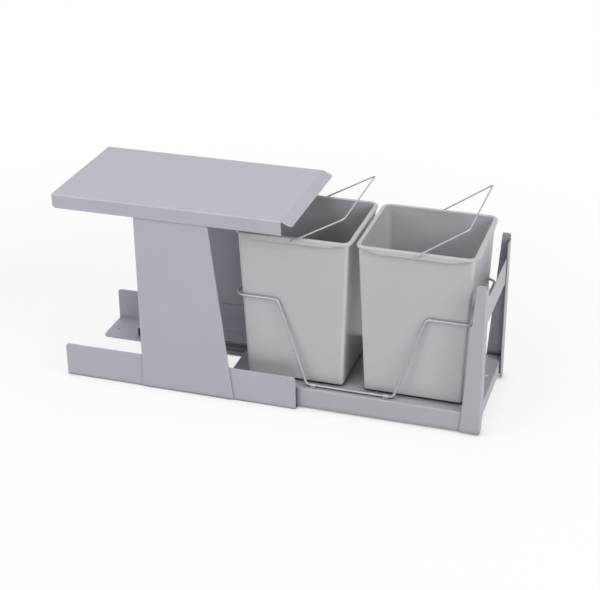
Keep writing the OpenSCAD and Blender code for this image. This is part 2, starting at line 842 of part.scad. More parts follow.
module rear_bail() translate([0, rear_bin_y, tray_top + pivot_h])
    bail(pulled * bail_rate - rear_bail_angle);

left_base_rail();
right_base_rail();
left_upright();
right_upright();
cover_plate();
left_slide_bracket();
right_slide_bracket();
left_slide_outer();
right_slide_outer();
slide_rivets();
slide_stops();
left_outer_cage();
left_outer_balls();
right_outer_cage();
right_outer_balls();
left_slide_middle();
right_slide_middle();
left_inner_cage();
left_inner_balls();
right_inner_cage();
right_inner_balls();
left_slide_inner();
right_slide_inner();
left_runner();
right_runner();
runner_rivets();
carriage_tray();
left_front_arm();
right_front_arm();
front_tie_plate();
wire_cradle();
cradle_clips();
front_bin();
rear_bin();
front_bail();
rear_bail();
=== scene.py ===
import json
import math
import bpy
import numpy as np
from mathutils import Matrix, Vector


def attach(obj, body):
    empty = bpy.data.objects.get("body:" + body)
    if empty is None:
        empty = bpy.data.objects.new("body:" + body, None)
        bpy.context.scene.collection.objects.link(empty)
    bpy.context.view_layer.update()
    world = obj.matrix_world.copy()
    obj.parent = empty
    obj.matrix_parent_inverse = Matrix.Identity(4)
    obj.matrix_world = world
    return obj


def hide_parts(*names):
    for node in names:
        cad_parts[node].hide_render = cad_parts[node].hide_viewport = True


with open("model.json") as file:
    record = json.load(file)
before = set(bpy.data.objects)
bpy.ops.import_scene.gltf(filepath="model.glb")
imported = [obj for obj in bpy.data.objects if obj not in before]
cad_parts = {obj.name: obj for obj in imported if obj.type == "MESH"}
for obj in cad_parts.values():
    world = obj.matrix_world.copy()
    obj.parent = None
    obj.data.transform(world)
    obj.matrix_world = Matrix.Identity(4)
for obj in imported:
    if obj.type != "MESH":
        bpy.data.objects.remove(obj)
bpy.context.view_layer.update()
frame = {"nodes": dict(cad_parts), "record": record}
nodes = frame["nodes"]
print("frame loaded,", len(nodes), "CAD nodes")


# Camera, set to the angle and distance of the photograph

view = {
    "azimuth": -72.0482,       # degrees round from straight in front
    "elevation": 26.5969,
    "roll": -0.5473,
    "distance": 2.8207,        # metres from the target
    "target": (0.0, -0.240, 0.200),
    "aside": 0.0284545,        # how far the target lies right of the picture's middle
    "above": 0.0133339,        # and how far above it
    "lens": 87.413,            # mm, as the sensor's width
    "sensor": 36.0,
    "nearest": 0.05,           # what lies closer or further isn't drawn
    "furthest": 60.0,
}


def makeCamera(shot):
    # Back points from the target to the camera by azimuth and elevation, level lies square to it
    # in the horizontal plane, and roll turns right and up about it
    a, e, r = (math.radians(shot[key]) for key in ("azimuth", "elevation", "roll"))
    back = Vector((math.sin(a) * math.cos(e), -math.cos(a) * math.cos(e), math.sin(e)))
    level = Vector((math.cos(a), math.sin(a), 0.0))
    upright = back.cross(level)
    right = level * math.cos(r) + upright * math.sin(r)
    up = upright * math.cos(r) - level * math.sin(r)
    place = (Vector(shot["target"]) + back * shot["distance"]
             - right * shot["aside"] - up * shot["above"])
    camera = bpy.data.objects.new("photo_camera", bpy.data.cameras.new("photo_camera"))
    camera.data.lens = shot["lens"]
    camera.data.sensor_fit = "HORIZONTAL"
    camera.data.sensor_width = shot["sensor"]
    camera.data.clip_start, camera.data.clip_end = shot["nearest"], shot["furthest"]
    camera.matrix_world = Matrix((
        (right.x, up.x, back.x, place.x),
        (right.y, up.y, back.y, place.y),
        (right.z, up.z, back.z, place.z),
        (0.0, 0.0, 0.0, 1.0),
    ))
    bpy.context.collection.objects.link(camera)
    bpy.context.scene.camera = camera


makeCamera(view)
print("camera placed")


# What all finishes share. A span is what a measure runs through from none to all.

finishRules = {
    "noiseSpan": (0.3, 0.7),       # noise stays near its middle
    "openSpan": (0.25, 0.95),      # share of the sky that a point sees
    "edgeSpan": (0.995, 0.86),     # cosine between the rounded and the true normal
    "paintedTopLightSpan": (0.7, 0.98),       # upward part of the normal
    "cornerHighlightSpan": (0.2, 0.8),      # the mesh's own mark
    "noiseRoughness": 0.55, "cloudDetail": 3.0, "grainDetail": 2.0, "bumpStrength": 0.35,
    "edgeGain": 1.7, "edgeTop": 0.95,   # the painted edge highlight is this times brighter, up to the top
    "edgeSamples": 6, "contactShadeSamples": 8,
}

# What a finish has where it says nothing else

plainFinish = {
    "metallic": 0.0, "ior": 1.5, "stretch": (1.0, 1.0, 1.0), "grainShare": 0.35,
    # no painted highlight and no painted shade unless a finish sets them
    "edgeHighlight": 0.0, "paintedTopLight": 0.0, "contactShade": 1.0, "contactShadeReach": 0.010,
}


# Node helpers for the materials

def addNode(tree, kind, inputs=None, **settings):
    node = tree.nodes.new(kind)
    for key, value in settings.items():
        setattr(node, key, value)
    for key, value in (inputs or {}).items():
        node.inputs[key].default_value = value
    return node


def join(tree, start, end):
    tree.links.new(start, end)


def newMaterial(name):
    material = bpy.data.materials.new(name)
    material.use_nodes = True
    tree = material.node_tree
    return material, tree, tree.nodes["Principled BSDF"]


def combine(tree, operation, first, second):
    # A sum, product or maximum of two outputs, or of an output and a number
    node = addNode(tree, "ShaderNodeMath", operation=operation)
    for slot, value in zip(node.inputs, (first, second)):
        if isinstance(value, bpy.types.NodeSocket):
            join(tree, value, slot)
        else:
            slot.default_value = value
    return node.outputs[0]


def mapTo(tree, source, span, low, high):
    # Straight from low, at the start of span, to high, at its end
    ranged = addNode(tree, "ShaderNodeMapRange", {
        "From Min": span[0], "From Max": span[1], "To Min": low, "To Max": high})
    join(tree, source, ranged.inputs["Value"])
    return ranged.outputs["Result"]


def noiseField(tree, scale, detail, stretch=(1.0, 1.0, 1.0)):
    # Noise in object space, in features per metre, drawn out along an axis by a stretch under 1
    place = addNode(tree, "ShaderNodeTexCoord")
    mapping = addNode(tree, "ShaderNodeMapping", {"Scale": stretch})
    noise = addNode(tree, "ShaderNodeTexNoise", {
        "Scale": scale, "Detail": detail, "Roughness": finishRules["noiseRoughness"]})
    join(tree, place.outputs["Object"], mapping.inputs["Vector"])
    join(tree, mapping.outputs["Vector"], noise.inputs["Vector"])
    return noise.outputs["Fac"]


def blendColours(tree, factor, first, second):
    # From first, where factor is 0, to second, where it is 1
    mix = addNode(tree, "ShaderNodeMix", data_type="RGBA")
    for index, colour in ((6, first), (7, second)):  # the node's two colour sockets
        if isinstance(colour, bpy.types.NodeSocket):
            join(tree, colour, mix.inputs[index])
        else:
            mix.inputs[index].default_value = (*colour, 1.0)
    join(tree, factor, mix.inputs[0])
    return mix.outputs[2]


def nearness(tree, reach, shut):
    # From shut, where other surfaces close in within reach, up to 1 in the open
    around = addNode(tree, "ShaderNodeAmbientOcclusion", {"Distance": reach},
                     samples=finishRules["contactShadeSamples"])
    return mapTo(tree, around.outputs["AO"], finishRules["openSpan"], shut, 1.0)


# The coat's colour: a cloud of tone, with painted highlights on edges, on faces that look up and
# on marked corners, and painted shade close to other surfaces
def coatColour(tree, look, tone, rounded):
    colour, change = np.array(look["colour"]), look["change"]
    body = blendColours(tree, tone, colour * (1 - change), colour * (1 + change))
    # Painted highlight: where the rounded normal leaves the true one, at edges, the coat is
    # brightened, as if the edges caught the light
    true = addNode(tree, "ShaderNodeNewGeometry").outputs["Normal"]
    apart = addNode(tree, "ShaderNodeVectorMath", operation="DOT_PRODUCT")
    join(tree, rounded, apart.inputs[0])
    join(tree, true, apart.inputs[1])
    paintedHighlight = mapTo(tree, apart.outputs["Value"], finishRules["edgeSpan"],
                    0.0, look["edgeHighlight"])
    # and a painted highlight brightens the faces that look up, as if lit from above
    upward = addNode(tree, "ShaderNodeSeparateXYZ")
    join(tree, true, upward.inputs[0])
    litTop = mapTo(tree, upward.outputs["Z"], finishRules["paintedTopLightSpan"], 0.0, look["paintedTopLight"])
    paintedHighlight = combine(tree, "MAXIMUM", paintedHighlight, litTop)
    if "corner" in look:
        # and a painted highlight brightens the moulded corners, which the mesh marks from 0 to 1
        mark = addNode(tree, "ShaderNodeAttribute", attribute_name="corner")
        paintedCornerShine = mapTo(tree, mark.outputs["Fac"], finishRules["cornerHighlightSpan"], 0.0, look["corner"])
        paintedHighlight = combine(tree, "MAXIMUM", paintedHighlight, paintedCornerShine)
    plainEdge = np.minimum(colour * finishRules["edgeGain"], finishRules["edgeTop"])
    coat = blendColours(tree, paintedHighlight, body, look.get("edgeHighlightColour", plainEdge))
    # Painted shade: close to another surface the coat is darkened, as if in contact shadow
    contactShade = nearness(tree, look["contactShadeReach"], look["contactShade"])
    paintedShade = addNode(tree, "ShaderNodeVectorMath", operation="SCALE")
    join(tree, coat, paintedShade.inputs[0])
    join(tree, contactShade, paintedShade.inputs["Scale"])
    return paintedShade.outputs["Vector"]


def makeFinish(name, look):
    # A broad cloud varies colour and roughness, and a fine grain gives the bump
    look = {**plainFinish, **look}
    material, tree, shader = newMaterial(name)
    shader.inputs["Metallic"].default_value = look["metallic"]
    shader.inputs["IOR"].default_value = look["ior"]
    cloud = noiseField(tree, look["cloudScale"], finishRules["cloudDetail"])
    grain = noiseField(tree, look["grainScale"], finishRules["grainDetail"], look["stretch"])
    mixed = combine(tree, "ADD", combine(tree, "MULTIPLY", grain, look["grainShare"]),
                    combine(tree, "MULTIPLY", cloud, 1.0 - look["grainShare"]))
    rough = mapTo(tree, mixed, finishRules["noiseSpan"], *look["roughness"])
    join(tree, rough, shader.inputs["Roughness"])
    edge = addNode(tree, "ShaderNodeBevel", {"Radius": look["edge"]},
                   samples=finishRules["edgeSamples"])
    tone = mapTo(tree, mixed, finishRules["noiseSpan"], 0.0, 1.0)
    coat = coatColour(tree, look, tone, edge.outputs["Normal"])
    join(tree, coat, shader.inputs["Base Color"])
    bump = addNode(tree, "ShaderNodeBump", {
        "Strength": finishRules["bumpStrength"], "Distance": look["bumpDepth"]})
    join(tree, grain, bump.inputs["Height"])
    join(tree, edge.outputs["Normal"], bump.inputs["Normal"])
    join(tree, bump.outputs["Normal"], shader.inputs["Normal"])
    return material


# Finishes, one for each of the record's material slots. Colours are linear, sizes in metres.

finishes = {
    "frame_paint": {       # silver-grey powder coat, with a fine orange peel
        "colour": (0.43, 0.43, 0.485), "metallic": 0.05, "roughness": (0.40, 0.50),
        "change": 0.025, "cloudScale": 11.0, "grainScale": 620.0, "bumpDepth": 0.00005,
        # painted highlight on edges, painted shade close to other surfaces
        "edge": 0.0012, "edgeHighlight": 0.7, "contactShade": 0.5,
    },
    "carriage_paint": {    # the same coat, slightly darker
        "colour": (0.405, 0.405, 0.445), "metallic": 0.05, "roughness": (0.40, 0.50),
        "change": 0.025, "cloudScale": 13.0, "grainScale": 640.0, "bumpDepth": 0.00005,
        # painted highlight on edges, strong painted shade close to other surfaces
        "edge": 0.0012, "edgeHighlight": 0.7, "contactShade": 0.15, "contactShadeReach": 0.014,
    },
    "bracket_zinc": {      # dull zinc, slightly streaked
        "colour": (0.42, 0.43, 0.45), "metallic": 0.85, "roughness": (0.32, 0.5),
        "change": 0.08, "cloudScale": 45.0, "grainScale": 420.0, "bumpDepth": 0.00003,
        "stretch": (1.0, 0.25, 1.0), "edge": 0.0004,
    },
    "slide_steel": {       # dark plated steel, drawn along its length
        "colour": (0.16, 0.16, 0.175), "metallic": 0.7, "roughness": (0.34, 0.48),
        "change": 0.16, "cloudScale": 30.0, "grainScale": 900.0, "bumpDepth": 0.00002,
        # painted highlight on edges and on faces that look up, in a pale colour, and painted shade
        # close to other surfaces
        "stretch": (1.0, 0.04, 1.0), "edge": 0.0018, "edgeHighlight": 1.0,
        "edgeHighlightColour": (0.60, 0.61, 0.64), "contactShade": 0.4, "paintedTopLight": 0.7,
    },
    "cage_steel": {        # thin bright pressed steel
        "colour": (0.30, 0.29, 0.26), "metallic": 0.9, "roughness": (0.26, 0.38),
        "change": 0.08, "cloudScale": 60.0, "grainScale": 900.0, "bumpDepth": 0.00001,
        "stretch": (1.0, 0.1, 1.0), "edge": 0.0001,
    },
    "ball_steel": {        # polished
        "colour": (0.62, 0.62, 0.64), "metallic": 1.0, "roughness": (0.08, 0.16),
        "change": 0.04, "cloudScale": 200.0, "grainScale": 3000.0, "bumpDepth": 0.000002,
        "edge": 0.0001,
    },
    "rivet_steel": {       # plain steel, as pressed
        "colour": (0.40, 0.40, 0.41), "metallic": 0.9, "roughness": (0.30, 0.45),
        "change": 0.08, "cloudScale": 120.0, "grainScale": 1500.0, "bumpDepth": 0.00002,
        "edge": 0.0003,
    },
    "stop_rubber": {       # matt black rubber
        "colour": (0.02, 0.02, 0.022), "roughness": (0.6, 0.75),
        "change": 0.12, "cloudScale": 120.0, "grainScale": 2500.0, "bumpDepth": 0.00004,
        "edge": 0.0004,
    },
    "wire_plating": {      # satin plated wire, drawn
        "colour": (0.44, 0.44, 0.47), "metallic": 0.6, "roughness": (0.46, 0.58),
        "change": 0.05, "cloudScale": 40.0, "grainScale": 1400.0, "bumpDepth": 0.00001,
        # painted shade close to other surfaces, where the wire lies against them
        "edge": 0.0001, "contactShade": 0.35, "contactShadeReach": 0.006,
    },
    "bin_plastic": {       # fine matt moulded polypropylene
        "colour": (0.485, 0.485, 0.510), "ior": 1.49, "roughness": (0.26, 0.34),
        "change": 0.015, "cloudScale": 9.0, "grainScale": 1900.0, "bumpDepth": 0.00002,
        # painted highlight on edges and on the moulded corners
        "grainShare": 0.5, "edge": 0.0008, "edgeHighlight": 0.4, "corner": 0.18,
    },
}

materials = {slotName: makeFinish(slotName, look) for slotName, look in finishes.items()}
slotOfNode = {part["node"]: part["material_slot"] for part in frame["record"]["subparts"]}


def paint(piece, slotName):
    piece.data.materials.clear()
    piece.data.materials.append(materials[slotName])


for nodeName, piece in nodes.items():
    paint(piece, slotOfNode[nodeName])
print("finishes made and put on the CAD nodes")


# Mesh helpers

sharpFrom = math.radians(38)  # edges that turn more than this stay sharp


def addPiece(name, points, quads, ends, body, slotName, node):
    # quads: rows of four indices; ends: polygons that close the open rings; node: what it replaces
    mesh = bpy.data.meshes.new(name)
    faces = quads.tolist() + [list(map(int, end)) for end in ends]
    mesh.from_pydata(np.asarray(points, float).tolist(), [], faces)
    mesh.polygons.foreach_set("use_smooth", np.ones(len(mesh.polygons), bool))
    mesh.set_sharp_from_angle(angle=sharpFrom)
    mesh.validate()
    mesh.update()
    piece = bpy.data.objects.new(name, mesh)
    bpy.context.collection.objects.link(piece)
    paint(piece, slotName)
    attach(piece, body)
    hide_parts(node)
    return piece


def gridFaces(rows, columns, wrapRows=False):
    # Quads between neighbouring rows of a grid whose columns run round in a ring
    row = np.arange(rows if wrapRows else rows - 1)[:, None]
    column = np.arange(columns)[None, :]
    nextRow, nextColumn = (row + 1) % rows, (column + 1) % columns
    corners = [row * columns + column, row * columns + nextColumn,
               nextRow * columns + nextColumn, nextRow * columns + column]
    return np.stack([c.ravel() for c in corners], axis=1)


def straight(start, end, shares):
    # Points of a straight run, given as shares of its length
    start, end, t = np.array(start), np.array(end), np.array(shares)[:, None]
    return start + (end - start) * t


def arc(centre, radius, first, last, steps):
    # Points of an arc: centre + radius * (cos, sin) of an angle from first to last, in degrees
    t = np.radians(np.linspace(first, last, steps + 1))
    return np.array(centre) + radius * np.stack([np.cos(t), np.sin(t)], axis=1)


# Bins, each one closed shell: outer wall, rolled rim, inner wall and floor. Their front and
# rear walls stand across the carriage.

binShape = {
    "width": 0.212, "length": 0.226, "height": 0.305, "floor": 0.045,
    "wall": 0.0024, "sideDraft": 1.4, "endDraft": 2.3,  # drafts in degrees
    "footHeight": 0.0038, "footSet": 0.0120, "footEdge": 0.0012, "footCorner": 0.003,
    "toe": 0.0004,                              # the foot's lower edge
    "recess": 0.0012, "recessSet": 0.014,       # hollow under the foot
    "innerFloor": 0.0080, "innerEdge": 0.003, "innerCorner": 0.011,
    "bodyCorner": 0.007, "neckCorner": 0.0135,  # the body's corners widen into the rim
    "neckDepth": 0.0095, "neckRun": 0.006,
    "rimCorner": 0.020, "rimOut": 0.0055, "rimDepth": 0.011, "rimLip": 0.0045, "rimWall": 0.002,
    "crown": 0.0025, "lipEdge": 0.0006, "lipRise": 0.0010, "mouthEdge": 0.0009,
    "joint": 0.0005, "taper": 0.024,
    "front": -0.461, "rear": -0.228,            # where the middles of the two bins stand
    # Rows of the profile: beside each edge, across small chamfers, over floor and walls
    "edgeStep": 0.0006, "edgeCut": 0.0002, "floorInsets": (0.030, 0.070),
    "wallTop": 0.016,                           # a wall is straight up to this far below the top
    "wallShares": (0.0, 0.25, 0.5, 0.75, 1.0),
    "neckDrops": (0.012, 0.0095, 0.008, 0.0065, 0.005, 0.0038, 0.0028),  # below the top, outside
    "throatDrops": (0.0020, 0.0040, 0.0055, 0.0070, 0.0085, 0.0110),     # and inside
    "wallRows": (14, 29),                       # the rows whose corners are marked for the painted highlight
    # Columns: steps round each corner, and shares of each side up to its middle
    "cornerSteps": 10, "leastSide": 0.0005,     # a corner leaves this much of a side straight
    "sideShares": (0.006, 0.02, 0.04, 0.06, 0.08, 0.10, 0.12, 0.14, 0.17, 0.25, 0.38, 0.5),
}


def smoothStep(t):
    # 3 t squared - 2 t cubed, level at 0 and at 1
    t = np.clip(t, 0.0, 1.0)
    return t * t * (3.0 - 2.0 * t)


def binProfile(shape):
    # Rows of x inset, y inset, height, corner radius and apron, from the middle of the underside
    # out, up the wall, over the rim and down the inside to the middle of the floor. Insets run
    # from the outside of the rim; rows with apron 1 hang lower along the sides than at corners.
    top, rimOut, wall, foot = (shape[key] for key in ("height", "rimOut", "wall", "footHeight"))
    slopes = [math.tan(math.radians(shape[key])) for key in ("sideDraft", "endDraft")]

    def onBody(path, least):
        # path: inset from the body's outer face, and height; least: the smallest corner
        inset, height = path[:, 0], path[:, 1]
        neck = smoothStep((height - (top - shape["neckDepth"])) / shape["neckRun"])
        corner = shape["bodyCorner"] + (shape["neckCorner"] - shape["bodyCorner"]) * neck
        corner = np.maximum(corner - inset, shape[least])
        sides = [rimOut + (top - height) * slope + inset for slope in slopes]
        return np.stack([*sides, height, corner, np.zeros(len(path))], axis=1)

    def onRim(path, apron, firstCorner):
        # path: inset from the outside of the rim, and height
        corner, aprons = firstCorner - path[:, 0], np.full(len(path), apron)
        return np.stack([path[:, 0], path[:, 0], path[:, 1], corner, aprons], axis=1)

    recessSet, recess = shape["recessSet"], shape["recess"]
    footSet, soft, toe = shape["footSet"], shape["footEdge"], shape["toe"]
    step, cut, (inner, outer) = shape["edgeStep"], shape["edgeCut"], shape["floorInsets"]
    under = np.array([
        [outer, recess], [inner, recess], [recessSet + step, recess],
        [recessSet, recess - cut], [recessSet - cut, cut], [recessSet - cut - step, 0.0],
        [footSet + toe + step, 0.0], [footSet + toe, toe / 4], [footSet, toe * 5 / 4],
        [footSet, foot - cut - step], [footSet - cut, foot - cut], [footSet - step, foot],
    ])
    footArc = arc((soft, foot + soft), soft, 270, 180, 6)
    wallTop, neckHeights = top - shape["wallTop"], top - np.array(shape["neckDrops"])
    outside = np.concatenate([
        straight((0.0, foot + soft + step), (0.0, wallTop), shape["wallShares"]),
        np.stack([np.zeros(len(neckHeights)), neckHeights], axis=1),
    ])

    rimWall, low, fine = shape["rimWall"], top - shape["rimLip"], shape["joint"]
    joined = arc((rimOut - fine, top - rimWall - fine), fine, 0, 90, 3)
    underRim = np.array([
        [rimWall + step, top - rimWall], [rimWall + cut, top - rimWall - cut],
        [rimWall, top - rimWall - step],
    ])
    lip, rise = shape["lipEdge"], low + shape["lipRise"]
    skirtFoot = np.concatenate([
        [[rimWall, rise]], arc((rimWall - lip, low + lip), lip, 0, -90, 4),
        arc((lip, low + lip), lip, 270, 180, 4), [[0.0, rise]],
    ])
    curve = shape["crown"]
    crown = np.concatenate([
        [[0.0, top - curve - step]], arc((curve, top - curve), curve, 180, 90, 8),
        [[curve + step, top]],
    ])
    mouth, bend = rimOut + wall, shape["mouthEdge"]
    lipIn = np.concatenate([
        [[mouth - bend - fine, top]], arc((mouth - bend, top - bend), bend, 90, 0, 4)])

    innerFoot, floor = shape["innerEdge"], shape["innerFloor"]
    throatHeights = top - np.array(shape["throatDrops"])
    inside = np.concatenate([
        np.stack([np.full(len(throatHeights), wall), throatHeights], axis=1),
        straight((wall, wallTop), (wall, floor + innerFoot + step), shape["wallShares"]),
    ])
    innerArc = arc((wall + innerFoot, floor + innerFoot), innerFoot, 180, 270, 6)
    middle = np.array([[wall + innerFoot + cut + step, floor], [inner, floor], [outer, floor]])

    neckRise, rimCorner = shape["neckCorner"] + rimOut, shape["rimCorner"]
    return np.concatenate([
        onBody(under, "footCorner"), onBody(footArc, "footCorner"), onBody(outside, "footCorner"),
        onRim(joined, 0, neckRise), onRim(underRim, 0, rimCorner), onRim(skirtFoot, 1, rimCorner),
        onRim(crown, 0, rimCorner), onRim(lipIn, 0, neckRise),
        onBody(inside, "innerCorner"), onBody(innerArc, "innerCorner"),
        onBody(middle, "innerCorner"),
    ])


def ringShape(cornerSteps, sideShares):
    # A rounded rectangle is sign * (half size - radius) + direction * radius. At a corner the
    # sign stays and the direction turns; along a side the direction stays and the sign changes.
    turn = np.radians(np.arange(4)[:, None] * 90 + np.linspace(0, 90, cornerSteps + 1)[None, :])
    direction = np.stack([np.cos(turn), np.sin(turn)], axis=2)
    signs = np.array([[1, 1], [-1, 1], [-1, -1], [1, -1]], float)
    cornerSigns = np.repeat(signs[:, None, :], cornerSteps + 1, axis=1)
    t = np.array(sideShares)[None, :, None]
    sideSigns = signs[:, None, :] * (1 - t) + np.roll(signs, -1, axis=0)[:, None, :] * t
    sideDirection = np.repeat(direction[:, -1:, :], len(sideShares), axis=1)
    sign = np.concatenate([cornerSigns, sideSigns], axis=1).reshape(-1, 2)
    return sign, np.concatenate([direction, sideDirection], axis=1).reshape(-1, 2)


def makeBin(node, shape, middle):
    # Each profile row is carried round a rounded rectangle of its own size and corner radius;
    # the apron lowers it by a smooth step of the distance from the nearest corner
    profile = binProfile(shape)
    early = np.array(shape["sideShares"])
    sideShares = np.concatenate([early, 1 - early[-2::-1]])
    sign, direction = ringShape(shape["cornerSteps"], sideShares)
    size = np.array([shape["width"] / 2, shape["length"] / 2])
    half = size[None, :] - profile[:, :2]
    largest = half.min(axis=1, keepdims=True) - shape["leastSide"]
    radius = np.minimum(profile[:, 3:4], largest)[:, :, None]
    ring = sign[None] * (half[:, None, :] - radius) + direction[None] * radius
    fromCorner = (1 - np.abs(sign).min(axis=1)) * (size.min() - shape["rimCorner"])
    apron = smoothStep(fromCorner / shape["taper"]) * (shape["rimDepth"] - shape["rimLip"])
    heights = profile[:, 2:3] + shape["floor"] - profile[:, 4:5] * apron[None, :]
    points = np.dstack([ring[:, :, 0], ring[:, :, 1] + middle, heights]).reshape(-1, 3)
    rows, columns = len(profile), len(sign)
    firstRing = np.arange(columns)[::-1]
    lastRing = (rows - 1) * columns + np.arange(columns)
    piece = addPiece(node + "_shell", points, gridFaces(rows, columns), [firstRing, lastRing],
                     "carriage", "bin_plastic", node)
    # How far a point is into a corner of the outer wall: the sine of twice the angle turned; the
    # finish paints a highlight where it is high
    steps, (firstRow, lastRow) = np.arange(rows), shape["wallRows"]
    onWall = (steps >= firstRow) & (steps < lastRow)
    turned = 2.0 * np.abs(direction[:, 0] * direction[:, 1])
    mark = piece.data.attributes.new("corner", "FLOAT", "POINT")
    mark.data.foreach_set("value", np.outer(onWall, turned).ravel().astype(np.float32))


makeBin("front_bin", binShape, binShape["front"])
makeBin("rear_bin", binShape, binShape["rear"])
print("bins made")


# Bent wire: the cradle and the two bails

wireForm = {
    "bendSteps": 10, "runStep": 0.03,
    "cutSlope": 0.0004, "cutFace": 0.75,  # a cut end's chamfer, and its face as a share
}


def bentPath(corners, bends, closed):
    # Straight runs joined by arcs. At a corner p between unit directions d and e the arc starts
    # at p - d * bend * tan(angle / 2) and its centre lies bend away, square to d.
    corners = np.array(corners, float)
    count = len(corners)
    toNext = np.roll(corners, -1, axis=0) - corners
    toNext /= np.linalg.norm(toNext, axis=1, keepdims=True)
    pieces = []
    for i in range(count):
        if not closed and i in (0, count - 1):
            pieces.append(corners[i:i + 1])
            continue
        d, e, bend = toNext[i - 1], toNext[i], bends[i]
        angle = math.acos(float(np.clip(d @ e, -1, 1)))
        start = corners[i] - d * bend * math.tan(angle / 2)
        inward = e - d * (d @ e)
        inward /= np.linalg.norm(inward)
        t = np.linspace(0, angle, wireForm["bendSteps"] + 1)[:, None]
        pieces.append(start + inward * bend * (1 - np.cos(t)) + d * bend * np.sin(t))
    if closed:
        pieces.append(pieces[0][:1])
    path = [pieces[0]]
    for piece in pieces[1:]:
        start, end = path[-1][-1], piece[0]
        parts = max(1, round(float(np.linalg.norm(end - start)) / wireForm["runStep"]))
        if parts > 1:
            path.append(straight(start, end, np.arange(1, parts) / parts))
        path.append(piece)
    whole = np.concatenate(path)
    return whole[:-1] if closed else whole


def tubeAlong(path, radius, closed, sides):
    # Rings square to the path: point + radius * (cos t * normal + sin t * binormal), the normal
    # being the upward direction made square to the path
    tangent = np.roll(path, -1, axis=0) - np.roll(path, 1, axis=0)
    if not closed:
        tangent[0], tangent[-1] = path[1] - path[0], path[-1] - path[-2]
    tangent /= np.linalg.norm(tangent, axis=1, keepdims=True)
    normal = np.array([0.0, 0.0, 1.0]) - tangent * tangent[:, 2:3]
    normal /= np.linalg.norm(normal, axis=1, keepdims=True)
    binormal = np.cross(tangent, normal)
    t = np.linspace(0, 2 * math.pi, sides, endpoint=False)[None, :, None]
    radii = np.full(len(path), radius)
    centres = path
    if not closed:
        slope, face = wireForm["cutSlope"], radius * wireForm["cutFace"]
        centres = np.concatenate([path[:1], path[:1] + tangent[:1] * slope, path[1:-1],
                                  path[-1:] - tangent[-1:] * slope, path[-1:]])
        radii = np.concatenate([[face], [radius], radii[1:-1], [radius], [face]])
        normal = np.concatenate([normal[:1], normal, normal[-1:]])
        binormal = np.concatenate([binormal[:1], binormal, binormal[-1:]])
    ring = np.cos(t) * normal[:, None, :] + np.sin(t) * binormal[:, None, :]
    points = (centres[:, None, :] + radii[:, None, None] * ring).reshape(-1, 3)
    rows = len(centres)
    faces = gridFaces(rows, sides, closed)
    ends = [] if closed else [np.arange(sides)[::-1], (rows - 1) * sides + np.arange(sides)]
    return points, faces, ends


cradle = {
    "radius": 0.0025, "sides": 24,
    "highX": 0.10077, "lowX": 0.1073, "highZ": 0.218, "lowZ": 0.0475,
    "front": -0.5742, "rear": -0.1148,
    "middle": -0.3415, "highHalf": 0.1435, "lowHalf": 0.085,  # the dip on each side
    "cornerBend": 0.017, "sideBend": 0.010,
}


def makeCradle(shape):
    # One closed loop: six corners along one side, and the same mirrored for the other
    highX, lowX, highZ, lowZ = (shape[key] for key in ("highX", "lowX", "highZ", "lowZ"))
    middle, highHalf, lowHalf = (shape[key] for key in ("middle", "highHalf", "lowHalf"))
    side = np.array([
        [highX, shape["front"], highZ], [highX, middle - highHalf, highZ],
        [lowX, middle - lowHalf, lowZ], [lowX, middle + lowHalf, lowZ],
        [highX, middle + highHalf, highZ], [highX, shape["rear"], highZ],
    ])
    bends = [shape["cornerBend"]] + [shape["sideBend"]] * 4 + [shape["cornerBend"]]
    corners = np.concatenate([side, side[::-1] * np.array([-1, 1, 1])])
    path = bentPath(corners, bends + bends[::-1], True)
    points, faces, ends = tubeAlong(path, shape["radius"], True, shape["sides"])
    addPiece("cradle_wire", points, faces, ends, "carriage", "wire_plating", "wire_cradle")


makeCradle(cradle)

bail = {
    "radius": 0.0015, "sides": 20, "side": 0.1087, "end": 0.0966, "reach": 0.117,
    "bend": 0.008, "hook": 0.0025, "pivotZ": 0.3445,
    "frontRaise": 34.017, "rearRaise": 29.517,  # degrees above level, as in the photograph
}


def makeBail(node, shape, middle, raised):
    # A flat U with hooked ends, bent at the origin, turned about X by the raise and moved to
    # its pivots
    side, end, reach = shape["side"], shape["end"], shape["reach"]
    corners = [[end, 0, 0], [side, 0, 0], [side, -reach, 0],
               [-side, -reach, 0], [-side, 0, 0], [-end, 0, 0]]
    bends = [0, shape["hook"], shape["bend"], shape["bend"], shape["hook"], 0]
    path = bentPath(corners, bends, False)
    points, faces, ends = tubeAlong(path, shape["radius"], False, shape["sides"])
    turn = math.radians(-raised)
    y, z = points[:, 1].copy(), points[:, 2].copy()
    points[:, 1] = y * math.cos(turn) - z * math.sin(turn) + middle
    points[:, 2] = y * math.sin(turn) + z * math.cos(turn) + shape["pivotZ"]
    addPiece(node + "_wire", points, faces, ends, node, "wire_plating", node)


makeBail("front_bail", bail, binShape["front"], bail["frontRaise"])
makeBail("rear_bail", bail, binShape["rear"], bail["rearRaise"])
print("wires made")


# Floor, world and lights

studio = {
    "floorColour": (0.95, 0.95, 0.95), "floorChange": 0.995, "floorCloud": 3.0,
    "floorRoughness": 0.9, "floorHalf": 14.0, "floorHeight": -0.0003,
    "floorShadow": 0.22,       # share of its own shading that the floor shows near the object
    "shadowSpan": (0.55, 1.3), "gapReach": 0.025,
    "worldLight": 0.18, "worldColour": (0.98, 0.99, 1.0),
    "lampAim": (0.0, -0.2, 0.2),
}
white = (1.0, 1.0, 1.0, 1.0)


def seenDirectly(tree):
    # 1 for camera rays and for rays reflected or let through, 0 for rays that light a surface
    rays = addNode(tree, "ShaderNodeLightPath")
    direct = rays.outputs["Is Camera Ray"]
    for kind in ("Is Glossy Ray", "Is Transmission Ray"):
        direct = combine(tree, "MAXIMUM", direct, rays.outputs[kind])
    return direct


